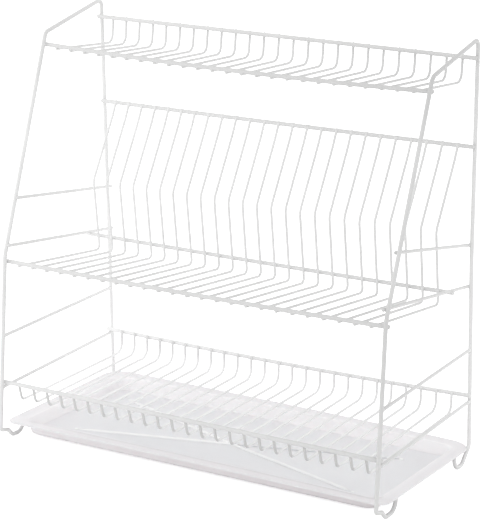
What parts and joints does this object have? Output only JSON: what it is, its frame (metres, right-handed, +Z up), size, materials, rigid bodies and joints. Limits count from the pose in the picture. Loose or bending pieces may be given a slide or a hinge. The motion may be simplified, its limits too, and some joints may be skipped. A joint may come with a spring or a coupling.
{
  "type": "dish drying rack",
  "caption": "Free-standing coated wire dish rack with a top cup shelf, a slotted plate tier, a lower basket and a lift-off drip tray resting on its looped feet.",
  "frame": {"origin": "on the table, under the middle of the rack's box", "axes": "+Z up, +X along the rack's length to its right end as seen from the front, -Y towards the front, where the legs lean back above the plate rail"},
  "size_m": [0.496, 0.2485, 0.498],
  "materials": {
    "coated_wire": "satin white coating",
    "tray_plastic": "frosted, see-through"
  },
  "bodies": {
    "rack": {"basket_grid": "coated_wire", "basket_rear_rail": "coated_wire", "left_basket_bar": "coated_wire", "left_brace_bar": "coated_wire", "left_plate_bar": "coated_wire", "left_side_frame": "coated_wire", "left_upper_bar": "coated_wire", "plate_back_rail": "coated_wire", "plate_front_rail": "coated_wire", "plate_support_rail": "coated_wire", "plate_wire_01": "coated_wire", "plate_wire_02": "coated_wire", "plate_wire_03": "coated_wire", "plate_wire_04": "coated_wire", "plate_wire_05": "coated_wire", "plate_wire_06": "coated_wire", "plate_wire_07": "coated_wire", "plate_wire_08": "coated_wire", "plate_wire_09": "coated_wire", "plate_wire_10": "coated_wire", "plate_wire_11": "coated_wire", "plate_wire_12": "coated_wire", "plate_wire_13": "coated_wire", "plate_wire_14": "coated_wire", "plate_wire_15": "coated_wire", "plate_wire_16": "coated_wire", "plate_wire_17": "coated_wire", "plate_wire_18": "coated_wire", "plate_wire_19": "coated_wire", "plate_wire_20": "coated_wire", "plate_wire_21": "coated_wire", "plate_wire_22": "coated_wire", "plate_wire_23": "coated_wire", "plate_wire_24": "coated_wire", "plate_wire_25": "coated_wire", "right_basket_bar": "coated_wire", "right_brace_bar": "coated_wire", "right_plate_bar": "coated_wire", "right_side_frame": "coated_wire", "right_upper_bar": "coated_wire", "top_rear_rail": "coated_wire", "top_shelf_grid": "coated_wire"},
    "tray": {"drip_tray": "tray_plastic"}
  },
  "joints": [
    {"name": "tray_lift", "type": "slide", "parent": "rack", "child": "tray", "axis": [0, 0, 1], "range_m": [0, 0.02]}
  ]
}
